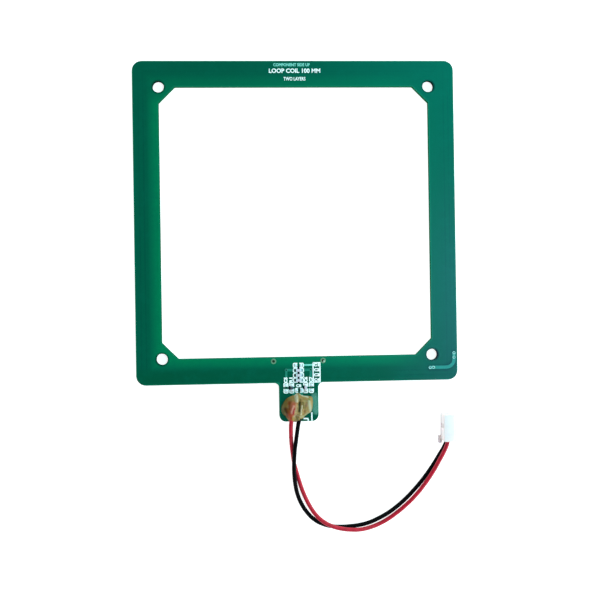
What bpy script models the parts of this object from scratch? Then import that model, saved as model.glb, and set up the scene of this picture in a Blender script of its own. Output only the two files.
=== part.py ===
"""Square printed loop antenna with a two-wire lead, as used inside shop security gates and counter readers.

Metres, +Z up. The board lies flat, component side up. The origin is under the middle of the board's outline,
tab included. Shapes are written in board coordinates, whose zero is the centre of the square loop.
"""
import math

import bmesh
import bpy
from mathutils import Matrix, Vector

MM = 0.001

# Board
BOARD_SIZE = 100 * MM
WINDOW_SIZE = 84 * MM
WINDOW_CORNER_CUT = 5 * MM
BOARD_THICKNESS = 1.6 * MM
BOARD_CORNER_RADIUS = 3 * MM
TAB_WIDTH = 12.2 * MM
TAB_LENGTH = 12 * MM
TAB_ROOT_RADIUS = 1.5 * MM
TAB_END_RADIUS = 2 * MM
ROOT_ARC_START = 85  # degrees: just short of 90, so the arc's first point stays off the edge's own line
HOLE_SPACING = 84 * MM
HOLE_DIAMETER = 3.6 * MM

# Copper
COPPER = 0.035 * MM
SURFACE_GAP = 0.01 * MM
GROOVE_DEPTH = COPPER + SURFACE_GAP
TRACE_WIDTH = 1.0 * MM
TRACE_PITCH = 1.44 * MM
FIRST_LANE_INSET = 1.05 * MM
TURNS = 3
PATH_ARC_STEPS = 5  # odd, so that no point of a corner falls on the board's diagonal
END_STEPS = 8
LOOP_END_X = 3.8 * MM
CROSSOVER_VIAS_LEFT = (41.35 * MM, 42.4 * MM)
CROSSOVER_VIAS_RIGHT = (-43.0 * MM, -41.65 * MM)
VIA_DRILL = 0.54 * MM
VIA_BARREL = 0.5 * MM
VIA_BORE = 0.3 * MM
EYELET_X = 7.7 * MM
EYELET_Y = -43.25 * MM
EYELET_DRILL = 0.84 * MM
EYELET_LAND = 1.7 * MM

# Matching network: a column of rows across x = 0, and below it two upright places on either side
PAD_GAP = 0.7 * MM
COLUMN_PAD = 0.9 * MM
ROWS = tuple(y * MM for y in (-44.62, -46.16, -47.7, -49.24))
INNER_X = 2.18 * MM
OUTER_X = 3.95 * MM
LOWER_PAD_TOP = -50.33 * MM
LOWER_PAD_HEIGHT = 0.9 * MM
CHIP_LENGTH = 1.6 * MM
CHIP_WIDTH = 0.8 * MM
CHIP_CAP = 0.32 * MM
CAPACITOR_HEIGHT = 0.8 * MM
RESISTOR_HEIGHT = 0.5 * MM

# Wires, solder and glue
WIRE_DIAMETER = 1.3 * MM
STRAND_DIAMETER = 0.48 * MM
WIRE_CLEARANCE = 0.15 * MM
RED_PAD_X = -1.5 * MM
BLACK_PAD_X = 0.9 * MM
WIRE_PAD_Y = -55.2 * MM
WIRE_PAD_RADIUS = 1.05 * MM
STRIP_Y = -57.4 * MM
WIRE_ON_BOARD_Z = 2.35 * MM
STRAND_AT_PAD_Z = 2.0 * MM
SOLDER_RADII = (0.88 * MM, 1.0 * MM, 0.85 * MM)
GLUE_END_Y = -61.95 * MM

# Connector, 2 mm pitch, lying on its narrow side with its mating end towards the board
PITCH = 2.0 * MM
HOUSING_HEIGHT = 5.8 * MM
HOUSING_LENGTH = 8.25 * MM
HOUSING_ENTRY = (46.05 * MM, -68.9 * MM)
HOUSING_YAW = math.radians(-1)
CAVITY_WIDTH = 1.6 * MM
STRIPPED_AT = 1.5 * MM
LOWER_WIRE_Z = (HOUSING_HEIGHT - PITCH) / 2
UPPER_WIRE_Z = (HOUSING_HEIGHT + PITCH) / 2

# Routes of the two wires in board coordinates, millimetres, from the solder joints to the connector.
# Black passes over red just below the tab, and red over black at the bottom of the curve.
RED_ROUTE = (
    (-1.5, -57.4, 2.35), (-1.75, -58.8, 2.35), (-2.2, -60.3, 2.35), (-2.55, -62.4, 2.33), (-2.65, -64.7, 2.15),
    (-2.6, -67.3, 1.65), (-2.4, -69.8, 1.05), (-2.1, -72.3, 0.74), (-1.7, -75.1, 0.66), (-1.0, -77.8, 0.66),
    (-0.2, -80.7, 0.66), (0.7, -83.5, 0.68), (1.8, -86.2, 0.82), (3.2, -88.9, 1.27), (5.0, -91.4, 1.85),
    (7.3, -93.4, 2.14), (10.0, -94.8, 2.17), (12.8, -95.6, 2.15), (15.6, -96.0, 2.05), (18.4, -96.1, 1.75),
    (21.4, -95.7, 1.2), (24.4, -94.8, 0.78), (27.2, -93.4, 0.75), (30.0, -91.5, 0.95), (32.8, -89.2, 1.25),
    (35.6, -86.5, 1.6), (38.4, -83.1, 2.05), (41.2, -79.0, 2.65), (43.7, -74.5, 3.3), (45.3, -71.3, 3.75),
    (46.0, -69.2, 3.9), (46.08, -67.4, 3.9),
)
BLACK_ROUTE = (
    (0.9, -57.4, 2.35), (0.72, -58.8, 2.35), (0.3, -60.3, 2.35), (-0.25, -62.4, 2.35), (-0.7, -65.1, 2.32),
    (-1.1, -67.9, 2.22), (-1.5, -70.7, 2.17), (-1.72, -73.4, 2.17), (-1.85, -76.2, 2.1), (-1.75, -79.1, 1.75),
    (-1.4, -82.0, 1.15), (-0.8, -84.8, 0.74), (0.3, -87.6, 0.66), (1.95, -90.3, 0.66), (4.35, -92.8, 0.66),
    (7.3, -94.4, 0.66), (10.1, -95.1, 0.66), (12.9, -95.3, 0.66), (15.7, -95.2, 0.66), (18.5, -94.9, 0.66),
    (21.5, -94.2, 0.66), (24.4, -93.0, 0.66), (27.3, -91.5, 0.66), (30.1, -89.6, 0.66), (33.0, -87.2, 0.66),
    (35.8, -84.4, 0.75), (38.7, -81.0, 0.98), (41.5, -77.1, 1.32), (43.8, -73.4, 1.63), (45.3, -70.9, 1.83),
    (46.0, -69.2, 1.9), (46.08, -67.4, 1.9),
)
ROUTE_STEP = 2 * WIRE_DIAMETER

HALF = BOARD_SIZE / 2
TAB_END_Y = -(HALF + TAB_LENGTH)
OUTLINE_CENTRE_Y = (HALF + TAB_END_Y) / 2
BOARD_TOP = BOARD_THICKNESS
COPPER_TOP = BOARD_TOP + SURFACE_GAP + COPPER
CHIP_BASE = COPPER_TOP + SURFACE_GAP
INNER_LANE = HALF - FIRST_LANE_INSET - (TURNS - 1) * TRACE_PITCH
OUTER_LANE = HALF - FIRST_LANE_INSET

COLOURS = {
    "solder_mask": ((0.0, 0.115, 0.06), 0.35, 0.0),
    "copper": ((0.75, 0.38, 0.2), 0.3, 1.0),
    "tin": ((0.75, 0.76, 0.77), 0.25, 1.0),
    "ceramic": ((0.42, 0.34, 0.3), 0.5, 0.0),
    "resistor": ((0.015, 0.015, 0.018), 0.4, 0.0),
    "hot_glue": ((0.45, 0.32, 0.1), 0.25, 0.0),
    "red_pvc": ((0.45, 0.015, 0.035), 0.4, 0.0),
    "black_pvc": ((0.008, 0.008, 0.01), 0.4, 0.0),
    "nylon": ((0.85, 0.87, 0.88), 0.45, 0.0),
}


def clear_scene():
    for existing in list(bpy.data.objects):
        bpy.data.objects.remove(existing, do_unlink=True)


def new_collection(name):
    collection = bpy.data.collections.new(name)
    bpy.context.scene.collection.children.link(collection)
    return collection


def new_empty(name, location, parent=None, yaw=0.0):
    empty = bpy.data.objects.new(name, None)
    empty.location = location
    empty.rotation_euler = (0, 0, yaw)
    empty.parent = parent
    PARTS.objects.link(empty)
    return empty


def material(slot):
    found = bpy.data.materials.get(slot)
    if found:
        return found
    colour, roughness, metallic = COLOURS[slot]
    made = bpy.data.materials.new(slot)
    made.use_nodes = True
    shader = made.node_tree.nodes["Principled BSDF"]
    shader.inputs["Base Color"].default_value = (*colour, 1)
    shader.inputs["Roughness"].default_value = roughness
    shader.inputs["Metallic"].default_value = metallic
    return made


def add_mesh(name, mesh, slot, parent):
    """Link a mesh as a part, or as a cutter when it has no material slot."""
    made = bpy.data.objects.new(name, mesh)
    made.parent = parent
    if slot:
        mesh.materials.append(material(slot))
        PARTS.objects.link(made)
    else:
        made.hide_render = True
        made.display_type = "WIRE"
        CUTTERS.objects.link(made)
    return made


def mesh_from(bm, name, smooth=False):
    bmesh.ops.recalc_face_normals(bm, faces=bm.faces[:])
    mesh = bpy.data.meshes.new(name)
    bm.to_mesh(mesh)
    bm.free()
    if smooth:
        mesh.shade_smooth()
        mesh.set_sharp_from_angle(angle=math.radians(40))
    return mesh


def box(name, low, high, slot=None, parent=None):
    bm = bmesh.new()
    bmesh.ops.create_cube(bm, size=1.0)
    low, high = Vector(low), Vector(high)
    size, centre = high - low, (high + low) / 2
    for vert in bm.verts:
        vert.co = Vector(a * b for a, b in zip(vert.co, size)) + centre
    return add_mesh(name, mesh_from(bm, name), slot, parent or BOARD_FRAME)


def ellipsoid(name, centre, radii, slot=None, segments=20, rings=10):
    bm = bmesh.new()
    bmesh.ops.create_uvsphere(bm, u_segments=segments, v_segments=rings, radius=1.0)
    for vert in bm.verts:
        vert.co = Vector(a * b for a, b in zip(vert.co, radii)) + Vector(centre)
    return add_mesh(name, mesh_from(bm, name, smooth=True), slot, BOARD_FRAME)


def cylinder(name, centre, radius, length, axis="Z", segments=16):
    bm = bmesh.new()
    bmesh.ops.create_cone(bm, segments=segments, radius1=radius, radius2=radius, depth=length, cap_ends=True)
    for vert in bm.verts:
        if axis == "Y":
            vert.co = Vector((vert.co.x, vert.co.z, -vert.co.y))
        vert.co += Vector(centre)
    return add_mesh(name, mesh_from(bm, name, smooth=True), None, BOARD_FRAME)


def curve_shape(curve):
    """The evaluated shape of a curve as a bmesh, with its loose caps welded on."""
    guide = bpy.data.objects.new(curve.name + "_guide", curve)
    CUTTERS.objects.link(guide)
    bpy.context.view_layer.update()
    mesh = bpy.data.meshes.new_from_object(guide.evaluated_get(bpy.context.evaluated_depsgraph_get()))
    bpy.data.objects.remove(guide, do_unlink=True)
    bm = bmesh.new()
    bm.from_mesh(mesh)
    bmesh.ops.remove_doubles(bm, verts=bm.verts[:], dist=1e-7)
    return bm


def flat_shape(outlines, bottom, top):
    """The flat area between outlines, raised from bottom to top; a single sheet where they are equal."""
    curve = bpy.data.curves.new("outline", "CURVE")
    curve.dimensions = "2D"
    curve.fill_mode = "BOTH"
    curve.extrude = (top - bottom) / 2
    for outline in outlines:
        spline = curve.splines.new("POLY")
        spline.points.add(len(outline) - 1)
        for point, (x, y) in zip(spline.points, outline):
            point.co = (x, y, 0, 1)
        spline.use_cyclic_u = True
    bm = curve_shape(curve)
    bmesh.ops.translate(bm, verts=bm.verts[:], vec=(0, 0, (top + bottom) / 2))
    return bm


def plate(name, outlines, bottom, top, slot):
    """A flat piece between two heights: the first outline is its edge, the others are holes in it."""
    return add_mesh(name, mesh_from(flat_shape(outlines, bottom, top), name), slot, BOARD_FRAME)


def tube(name, points, diameter, slot=None):
    curve = bpy.data.curves.new(name, "CURVE")
    curve.dimensions = "3D"
    curve.bevel_depth = diameter / 2
    curve.bevel_resolution = 2
    curve.use_fill_caps = True
    spline = curve.splines.new("POLY")
    spline.points.add(len(points) - 1)
    for point, position in zip(spline.points, points):
        point.co = (*position, 1)
    return add_mesh(name, mesh_from(curve_shape(curve), name, smooth=True), slot, BOARD_FRAME)


def turned(name, profile, centre, slot, steps=12):
    """A closed profile of (radius, height) pairs turned about a vertical axis at centre."""
    bm = bmesh.new()
    ring = [bm.verts.new((radius, 0, height)) for radius, height in profile]
    for first, second in zip(ring, ring[1:] + ring[:1]):
        bm.edges.new((first, second))
    mesh = bpy.data.meshes.new(name)
    bm.to_mesh(mesh)
    bm.free()
    made = add_mesh(name, mesh, slot, BOARD_FRAME)
    made.location = (*centre, 0)
    screw = made.modifiers.new("turn", "SCREW")
    screw.steps = steps
    screw.render_steps = steps
    screw.use_merge_vertices = True
    screw.merge_threshold = 1e-7
    return made


def combine(target, operation, *cutters):
    for cutter in cutters:
        boolean = target.modifiers.new(cutter.name, "BOOLEAN")
        boolean.operation = operation
        boolean.solver = "EXACT"
        boolean.object = cutter


def arc(centre, radius, start, end, steps=6):
    """Points of an arc in the plane, angles in degrees."""
    angles = (math.radians(start + (end - start) * step / steps) for step in range(steps + 1))
    return [(centre[0] + radius * math.cos(a), centre[1] + radius * math.sin(a)) for a in angles]


def circle(centre, radius, steps=24, turn=7):
    """A closed ring, turned a little so that its points don't line up with those of its neighbours."""
    return arc(centre, radius, turn, 360 + turn, steps)[:-1]


def board_outline():
    """The square with rounded corners and its tab, anticlockwise from the top right."""
    r, edge = BOARD_CORNER_RADIUS, HALF - BOARD_CORNER_RADIUS
    tab_half = TAB_WIDTH / 2
    root, end = TAB_ROOT_RADIUS, TAB_END_RADIUS
    points = arc((edge, edge), r, 0, 90)
    points += arc((-edge, edge), r, 90, 180)
    points += arc((-edge, -edge), r, 180, 270)
    points += arc((-tab_half - root, -HALF - root), root, ROOT_ARC_START, 0)
    points += arc((-tab_half + end, TAB_END_Y + end), end, 180, 270)
    points += arc((tab_half - end, TAB_END_Y + end), end, 270, 360)
    points += arc((tab_half + root, -HALF - root), root, 180, 180 - ROOT_ARC_START)
    points += arc((edge, -edge), r, 270, 360)
    return points


def window_outline():
    side = WINDOW_SIZE / 2
    cut = side - WINDOW_CORNER_CUT
    return [(side, cut), (cut, side), (-cut, side), (-side, cut),
            (-side, -cut), (-cut, -side), (cut, -side), (side, -cut)]


def rounded_path(corners, radius):
    """A run of points through the corners, each inner corner turned on an arc."""
    path = [Vector(corners[0])]
    for before, corner, after in zip(corners, corners[1:], corners[2:]):
        corner = Vector(corner)
        inward = (Vector(before) - corner).normalized()
        outward = (Vector(after) - corner).normalized()
        centre = corner + (inward + outward) * radius
        start = -outward
        finish = -inward
        for step in range(PATH_ARC_STEPS + 1):
            angle = math.pi / 2 * step / PATH_ARC_STEPS
            path.append(centre + (start * math.cos(angle) + finish * math.sin(angle)) * radius)
    path.append(Vector(corners[-1]))
    return path


def ribbon(path, width, extend=0.0):
    """The outline of a track of constant width along a path."""
    path = [Vector(point) for point in path]
    path[0] += (path[0] - path[1]).normalized() * extend
    path[-1] += (path[-1] - path[-2]).normalized() * extend
    left, right = [], []
    for index, point in enumerate(path):
        ahead = path[min(index + 1, len(path) - 1)] - point
        behind = point - path[max(index - 1, 0)]
        along = (ahead.normalized() + behind.normalized()).normalized()
        side = Vector((-along.y, along.x)) * width / 2
        left.append(tuple(point + side))
        right.append(tuple(point - side))
    return left + right[::-1]


def round_ended_ribbon(path, width):
    """A ribbon with a half circle at each end."""
    path = [Vector(point) for point in path]
    outline = ribbon(path, width)
    sides = len(path)

    def cap(centre, corner):
        spoke = Vector(corner) - centre
        turns = (Matrix.Rotation(-math.pi * step / END_STEPS, 2) for step in range(1, END_STEPS))
        return [tuple(centre + turn @ spoke) for turn in turns]

    return outline[:sides] + cap(path[-1], outline[sides - 1]) + outline[sides:] + cap(path[0], outline[-1])


def loop_path():
    """Three turns from the crossover's far vias inwards to the left-hand feed via."""
    lanes = [OUTER_LANE - turn * TRACE_PITCH for turn in range(TURNS)]
    corners = [(lanes[0], CROSSOVER_VIAS_RIGHT[0] - 0.4 * MM)]
    for turn, lane in enumerate(lanes):
        corners += [(lane, lane), (-lane, lane), (-lane, -lane)]
        if turn + 1 < TURNS:
            corners.append((lanes[turn + 1], -lane))
    corners.append((-LOOP_END_X + 0.4 * MM, -lanes[-1]))
    return rounded_path(corners, 1.2 * MM)


def feed_path():
    return [(LOOP_END_X - 0.4 * MM, -INNER_LANE), (CROSSOVER_VIAS_LEFT[1] + 0.4 * MM, -INNER_LANE)]


def small_vias():
    """Name and place of each small plated hole."""
    places = {"feed_via_left": (-LOOP_END_X, -INNER_LANE), "feed_via_right": (LOOP_END_X, -INNER_LANE)}
    for number, x in enumerate(CROSSOVER_VIAS_LEFT, start=1):
        places[f"crossover_via_{number}"] = (x, -INNER_LANE)
    for number, y in enumerate(CROSSOVER_VIAS_RIGHT, start=3):
        places[f"crossover_via_{number}"] = (OUTER_LANE, y)
    return places


def eyelet_places():
    return {"test_eyelet_left": (-EYELET_X, EYELET_Y), "test_eyelet_right": (EYELET_X, EYELET_Y)}


def build_board():
    """The laminate: an upper layer drilled for the vias on a thin lower layer slotted for the copper tracks."""
    half_spacing = HOLE_SPACING / 2
    through = [board_outline(), window_outline()]
    through += [circle((sx * half_spacing, sy * half_spacing), HOLE_DIAMETER / 2)
                for sx in (-1, 1) for sy in (-1, 1)]
    through += [circle(place, EYELET_DRILL / 2, 16, 3) for place in eyelet_places().values()]
    vias = [circle(place, VIA_DRILL / 2, 12, 4 * number)
            for number, place in enumerate(small_vias().values(), start=1)]
    room = 2 * SURFACE_GAP
    grooves = [ribbon(path, TRACE_WIDTH + room, room) for path in (loop_path(), feed_path())]
    board = bmesh.new()
    for outlines, bottom, top in ((through + grooves, 0, GROOVE_DEPTH), (through + vias, GROOVE_DEPTH, BOARD_TOP),
                                  (grooves + vias, GROOVE_DEPTH, GROOVE_DEPTH)):
        layer = flat_shape(outlines, bottom, top)
        seam = [face for face in layer.faces
                if top > bottom and all(abs(vert.co.z - GROOVE_DEPTH) < 1e-7 for vert in face.verts)]
        bmesh.ops.delete(layer, geom=seam, context="FACES")
        mesh = bpy.data.meshes.new("layer")
        layer.to_mesh(mesh)
        layer.free()
        board.from_mesh(mesh)
    bmesh.ops.remove_doubles(board, verts=board.verts[:], dist=1e-7)
    add_mesh("circuit_board", mesh_from(board, "circuit_board"), "solder_mask", BOARD_FRAME)


def build_back_copper():
    """The loop and its feed lie flush in the underside, where the solder mask covers them."""
    bottom = SURFACE_GAP / 2
    top = bottom + COPPER
    plate("antenna_loop", [ribbon(loop_path(), TRACE_WIDTH)], bottom, top, "copper")
    plate("loop_feed_trace", [ribbon(feed_path(), TRACE_WIDTH)], bottom, top, "copper")


def build_crossover():
    start = (CROSSOVER_VIAS_LEFT[0], -INNER_LANE)
    end = (OUTER_LANE, CROSSOVER_VIAS_RIGHT[1])
    path = rounded_path([start, (OUTER_LANE, -INNER_LANE), end], 2.4 * MM)
    outline = round_ended_ribbon(path, TRACE_WIDTH)
    plate("crossover_trace", [outline], BOARD_TOP + SURFACE_GAP, COPPER_TOP, "copper")


def build_vias():
    bottom = GROOVE_DEPTH + SURFACE_GAP
    outer, inner = VIA_BARREL / 2, VIA_BORE / 2
    profile = [(outer, BOARD_TOP), (outer, bottom), (inner, bottom), (inner, BOARD_TOP)]
    for name, place in small_vias().items():
        turned(name, profile, place, "copper")


def build_eyelets():
    """Plated holes for a test probe: a land on top and a barrel down to the underside."""
    land, barrel, bore = EYELET_LAND / 2, EYELET_DRILL / 2 - 4 * SURFACE_GAP, 0.3 * MM
    low, under, high = SURFACE_GAP, BOARD_TOP + SURFACE_GAP, COPPER_TOP
    profile = [(land, high), (land, under), (barrel, under), (barrel, low), (bore, low), (bore, high)]
    for name, place in eyelet_places().items():
        turned(name, profile, place, "tin", 16)


def coil_net(side):
    """Outline of the copper that joins one loop end to the capacitor column and the upper row of pads."""
    inner, outer = PAD_GAP / 2, PAD_GAP / 2 + COLUMN_PAD
    column_top, column_bottom = ROWS[0] + 0.5 * MM, ROWS[-1] - 0.45 * MM
    track = 0.4 * MM
    drop_in, drop_out = LOOP_END_X - 0.35 * MM, LOOP_END_X + 0.35 * MM
    pad_in, pad_out = INNER_X - 0.5 * MM, OUTER_X + 0.5 * MM
    pad_top, pad_bottom = LOWER_PAD_TOP, LOWER_PAD_TOP - LOWER_PAD_HEIGHT
    points = [
        (inner, column_top), (inner, column_bottom), (outer, column_bottom), (outer, -INNER_LANE - track),
        (drop_in, -INNER_LANE - track), (drop_in, pad_top), (pad_in, pad_top), (pad_in, pad_bottom),
        (pad_out, pad_bottom), (pad_out, pad_top), (drop_out, pad_top), (drop_out, -INNER_LANE + track),
        (outer, -INNER_LANE + track), (outer, column_top),
    ]
    return [(side * x, y) for x, y in points]


def feed_net(side, wire_pad_x):
    """Outline of the copper from the lower row of pads to one wire's solder pad."""
    top = LOWER_PAD_TOP - LOWER_PAD_HEIGHT - PAD_GAP
    bottom = top - LOWER_PAD_HEIGHT
    inner, outer = PAD_GAP / 2, OUTER_X + 0.5 * MM
    neck = 0.4 * MM
    angle = math.degrees(math.asin(neck / WIRE_PAD_RADIUS))
    pad = arc((wire_pad_x, WIRE_PAD_Y), WIRE_PAD_RADIUS, 90 - side * angle, 90 - side * (360 - angle), 16)
    points = [(side * outer, top), (side * inner, top), (side * inner, bottom),
              (wire_pad_x - side * neck, bottom)]
    return points + pad[::-1] + [(wire_pad_x + side * neck, bottom), (side * outer, bottom)]


def build_front_copper():
    low = BOARD_TOP + SURFACE_GAP
    plate("coil_net_left", [coil_net(-1)], low, COPPER_TOP, "copper")
    plate("coil_net_right", [coil_net(1)], low, COPPER_TOP, "copper")
    plate("feed_net_left", [feed_net(-1, RED_PAD_X)], low, COPPER_TOP, "copper")
    plate("feed_net_right", [feed_net(1, BLACK_PAD_X)], low, COPPER_TOP, "copper")


def build_chip(name, centre, height, slot, upright=False):
    """A two-terminal chip: its body and one metal cap at each end."""
    half, half_width = CHIP_LENGTH / 2, CHIP_WIDTH / 2
    body_half = half - CHIP_CAP - SURFACE_GAP
    inset = 0.02 * MM

    def piece(label, start, end, shrink, piece_slot):
        across = half_width - shrink
        low, high = (start, -across), (end, across)
        if upright:
            low, high = low[::-1], high[::-1]
        base, top = CHIP_BASE + shrink, CHIP_BASE + height - shrink
        box(label, (centre[0] + low[0], centre[1] + low[1], base),
            (centre[0] + high[0], centre[1] + high[1], top), piece_slot)

    piece(name, -body_half, body_half, inset, slot)
    piece(name + "_cap_a", -half, -half + CHIP_CAP, 0, "tin")
    piece(name + "_cap_b", half - CHIP_CAP, half, 0, "tin")


def build_chips():
    for number, y in enumerate(ROWS[1:], start=1):
        build_chip(f"tuning_capacitor_{number}", (0, y), CAPACITOR_HEIGHT, "ceramic")
    pair_y = LOWER_PAD_TOP - LOWER_PAD_HEIGHT - PAD_GAP / 2
    build_chip("damping_resistor", (-INNER_X, pair_y), RESISTOR_HEIGHT, "resistor", upright=True)
    build_chip("series_capacitor", (INNER_X, pair_y), CAPACITOR_HEIGHT, "ceramic", upright=True)


def smooth_route(route):
    """Points about one step apart on a Catmull-Rom curve through the route's own points."""
    knots = [Vector(point) * MM for point in route]
    knots = [2 * knots[0] - knots[1]] + knots + [2 * knots[-1] - knots[-2]]
    dense = []
    for before, start, end, after in zip(knots, knots[1:], knots[2:], knots[3:]):
        for step in range(12):
            t = step / 12
            dense.append(0.5 * (2 * start + (end - before) * t
                                + (2 * before - 5 * start + 4 * end - after) * t * t
                                + (3 * start - before - 3 * end + after) * t ** 3))
    dense.append(knots[-2])
    length = sum((b - a).length for a, b in zip(dense, dense[1:]))
    count = round(length / ROUTE_STEP)
    points, travelled, mark = [dense[0]], 0.0, 1
    for a, b in zip(dense, dense[1:]):
        travelled += (b - a).length
        if travelled >= length * mark / count and mark < count:
            points.append(b)
            mark += 1
    return points + [dense[-1]]


def build_wires():
    tube("red_wire", smooth_route(RED_ROUTE), WIRE_DIAMETER, "red_pvc")
    tube("black_wire", smooth_route(BLACK_ROUTE), WIRE_DIAMETER, "black_pvc")


def strand_end(x):
    """The bared strands from the end of the insulation down into the solder."""
    start = STRIP_Y + 2 * SURFACE_GAP
    return [(x, start, WIRE_ON_BOARD_Z), (x, start + 0.4 * MM, WIRE_ON_BOARD_Z),
            (x, start + 0.8 * MM, WIRE_ON_BOARD_Z - 0.12 * MM), (x, start + 1.2 * MM, STRAND_AT_PAD_Z + 0.04 * MM),
            (x, start + 1.6 * MM, STRAND_AT_PAD_Z), (x, WIRE_PAD_Y + 0.7 * MM, STRAND_AT_PAD_Z)]


def build_solder(colour, x):
    tube(f"{colour}_strands_at_board", strand_end(x), STRAND_DIAMETER, "tin")
    base = CHIP_BASE
    joint = ellipsoid(f"{colour}_solder_joint", (x, WIRE_PAD_Y, base), SOLDER_RADII, "tin", 16, 8)
    floor = box(f"{colour}_solder_floor", (x - 2 * MM, WIRE_PAD_Y - 2 * MM, base - 2 * MM),
                (x + 2 * MM, WIRE_PAD_Y + 2 * MM, base))
    bore = cylinder(f"{colour}_solder_bore", (x, WIRE_PAD_Y, STRAND_AT_PAD_Z),
                    STRAND_DIAMETER / 2 + 0.03 * MM, 4 * MM, "Y", 12)
    combine(joint, "DIFFERENCE", floor, bore)


def build_glue():
    """Hot-melt glue over the solder joints: the strain relief that both wires leave through."""
    base = BOARD_TOP + 6 * SURFACE_GAP
    glue = ellipsoid("glue_blob", (-0.65 * MM, -57 * MM, base), (5 * MM, 3.7 * MM, 2.9 * MM), "hot_glue", 28, 14)
    shoulder = ellipsoid("glue_shoulder", (2.1 * MM, -56.6 * MM, base), (2.3 * MM, 2.7 * MM, 1.6 * MM))
    neck = ellipsoid("glue_neck", (-1.35 * MM, -60.6 * MM, base), (3.0 * MM, 3.0 * MM, 2.6 * MM))
    combine(glue, "UNION", shoulder, neck)
    floor = box("glue_floor", (-9 * MM, -70 * MM, base - 6 * MM), (9 * MM, -48 * MM, base))
    end = box("glue_end", (-9 * MM, -70 * MM, base - 7 * MM), (9 * MM, GLUE_END_Y, base + 6 * MM))
    combine(glue, "DIFFERENCE", floor, end)
    channel_diameter = WIRE_DIAMETER + 2 * WIRE_CLEARANCE
    for colour, route, x in (("red", RED_ROUTE, RED_PAD_X), ("black", BLACK_ROUTE, BLACK_PAD_X)):
        inside = [Vector(point) * MM for point in route[:5]]
        inside.insert(0, inside[0] + Vector((0, 0.5 * MM, 0)))
        channel = tube(f"{colour}_glue_channel", inside, channel_diameter)
        chamber = cylinder(f"{colour}_glue_chamber", (x, WIRE_PAD_Y, base), 1.15 * MM, 1.9 * MM, segments=16)
        passage = box(f"{colour}_glue_passage", (x - 0.4 * MM, STRIP_Y - 0.1 * MM, base - 1 * MM),
                      (x + 0.4 * MM, WIRE_PAD_Y, WIRE_ON_BOARD_Z + 0.35 * MM))
        combine(glue, "DIFFERENCE", channel, chamber, passage)


def plug_box(name, low, high, slot=None):
    """A box in the connector's own millimetres: X across, Y from the wire end to the mating end."""
    return box(name, [value * MM for value in low], [value * MM for value in high], slot, PLUG_FRAME)


def keying_rib(name, bottom, top):
    """One of the two ribs on the housing's right-hand wall, rounded off towards the mating end."""
    wall, crest, end = 1.4 * MM, 2.6 * MM, HOUSING_LENGTH - 1.4 * MM
    radius = 0.5 * MM
    outline = [(wall, 0.05 * MM), (crest, 0.05 * MM)]
    outline += arc((crest - radius, end - radius), radius, 0, 90, 4) + [(wall, end)]
    return add_mesh(name, mesh_from(flat_shape([outline], bottom, top), name), None, PLUG_FRAME)


def build_housing():
    height, length = HOUSING_HEIGHT / MM, HOUSING_LENGTH / MM
    housing = plug_box("connector_housing", (-1.45, 0, 0), (1.75, length, height), "nylon")
    bevel = housing.modifiers.new("edges", "BEVEL")
    bevel.width = 0.12 * MM
    bevel.segments = 1
    lip = plug_box("housing_lip", (-2.3, -0.9, 0.15), (-1.3, 1.4, 1.3))
    combine(housing, "UNION", lip)
    for number, bottom in enumerate((0.35 * MM, HOUSING_HEIGHT - 1.35 * MM)):
        combine(housing, "UNION", keying_rib(f"housing_rib_{number}", bottom, bottom + 1 * MM))
    half = CAVITY_WIDTH / MM / 2
    for label, wire_z in (("lower", LOWER_WIRE_Z / MM), ("upper", UPPER_WIRE_Z / MM)):
        cavity = plug_box(f"{label}_cavity", (-0.9, -1, wire_z - half), (0.95, length - 0.6, wire_z + half))
        mouth = plug_box(f"{label}_mouth", (-0.4, length - 1, wire_z - 0.5), (0.7, length + 1, wire_z + 0.5))
        latch = plug_box(f"{label}_latch_window", (-2, length - 4.3, wire_z - 0.5),
                         (0, length - 2.9, wire_z + 0.5))
        combine(housing, "DIFFERENCE", cavity, mouth, latch)


def build_terminal(colour, wire_z):
    """A stamped crimp terminal: a socket for the mating pin, a floor strip and two pairs of crimp wings."""
    z = wire_z / MM
    front = HOUSING_LENGTH / MM - 0.75
    terminal = plug_box(f"{colour}_terminal", (-0.6, front - 2.9, z - 0.74), (0.9, front, z + 0.74), "tin")
    bore = plug_box(f"{colour}_socket_bore", (-0.42, front - 4, z - 0.54), (0.7, front + 1, z + 0.54))
    combine(terminal, "DIFFERENCE", bore)
    strip = plug_box(f"{colour}_strip", (0.72, 0.2, z - 0.72), (0.88, front - 2.7, z + 0.72))
    combine(terminal, "UNION", strip)
    for label, wing_in, wing_out, y_start, y_end in (("insulation", 0.68, 0.78, 0.3, 1.4),
                                                     ("strand", 0.27, 0.45, 1.9, 3.1)):
        for side in (-1, 1):
            low_z, high_z = sorted((z + side * wing_in, z + side * wing_out))
            wing = plug_box(f"{colour}_{label}_wing_{side}", (-0.35, y_start, low_z), (0.8, y_end, high_z))
            combine(terminal, "UNION", wing)


def build_plug_strands(colour, wire_z):
    start = STRIPPED_AT + 2 * SURFACE_GAP
    x, y = HOUSING_ENTRY
    points = [(x, y + start + step * 0.6 * MM, wire_z) for step in range(4)]
    tube(f"{colour}_strands_at_plug", points, STRAND_DIAMETER, "tin")


clear_scene()
PARTS = new_collection("loop_antenna_board")
CUTTERS = new_collection("cutters")
BOARD_FRAME = new_empty("board_frame", (0, -OUTLINE_CENTRE_Y, 0))
PLUG_FRAME = new_empty("plug_frame", (*HOUSING_ENTRY, 0), BOARD_FRAME, HOUSING_YAW)
bpy.context.view_layer.update()

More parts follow.
